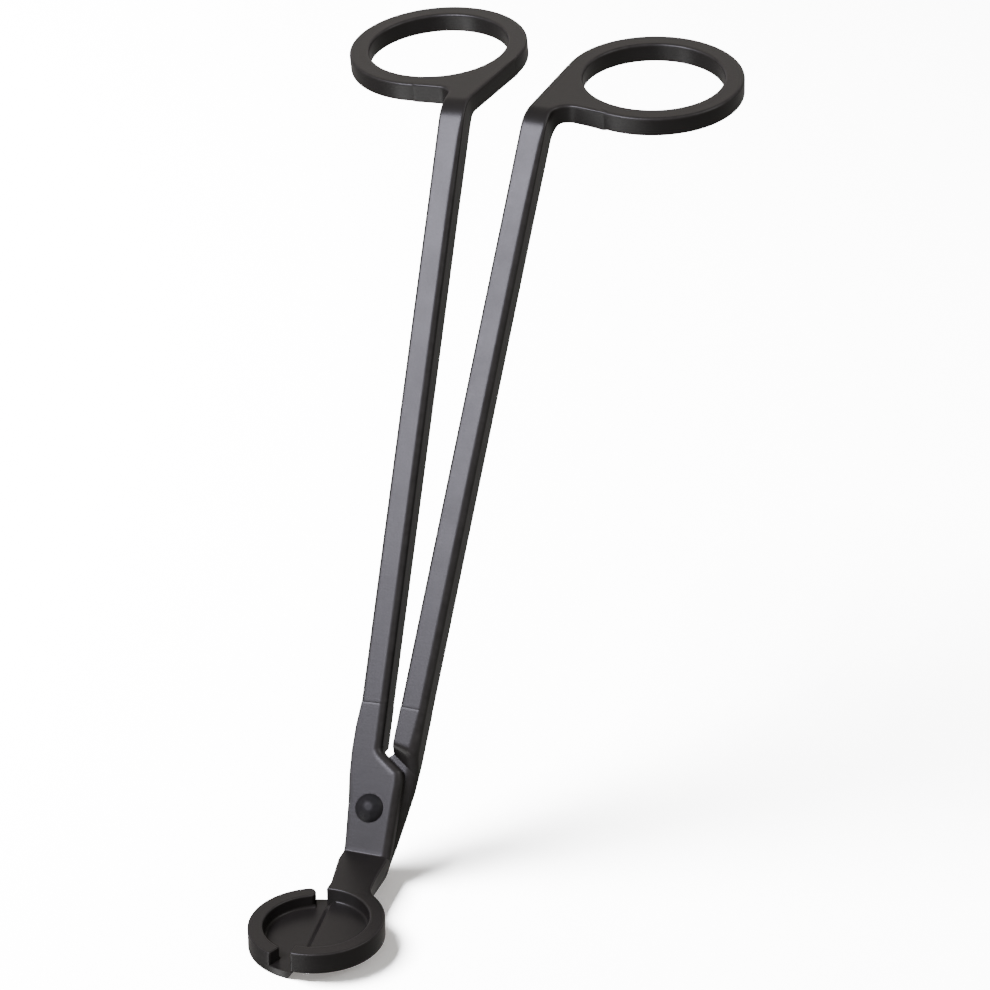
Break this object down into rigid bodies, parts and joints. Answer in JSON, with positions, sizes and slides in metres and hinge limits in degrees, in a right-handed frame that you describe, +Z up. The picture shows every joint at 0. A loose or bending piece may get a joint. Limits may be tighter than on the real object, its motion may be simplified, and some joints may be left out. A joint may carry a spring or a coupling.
{
  "type": "wick trimmer",
  "caption": "Long-handled wick trimmer: two crossing arms on a rivet, bent up from a round split tray whose halves are the blades, with finger rings at the top.",
  "frame": {"origin": "On the flat underside of the lower half of the tray, 5 mm to the left of the tray's own axis, on the surface that the tray stands on", "axes": "+Z up, normal to the tray; +Y from the tray's front gap towards the shafts and finger rings; +X to the right of someone facing the rivet head"},
  "size_m": [0.0737, 0.1462, 0.1164],
  "materials": {
    "black_coating": "satin black coating with a fine grain over steel",
    "rivet_coating": "satin black coating, smoother than the arms"
  },
  "bodies": {
    "back_arm": {"back_shaft": "black_coating", "back_ring": "black_coating", "lower_blade": "black_coating", "rivet": "rivet_coating"},
    "front_arm": {"front_shaft": "black_coating", "front_ring": "black_coating", "upper_blade": "black_coating"}
  },
  "joints": [
    {"name": "pivot", "type": "hinge", "parent": "back_arm", "child": "front_arm", "pos_m": [0.005, 0.0274, 0.0102], "axis": [0, -0.8192, 0.5736], "range_deg": [-3, 25]}
  ]
}
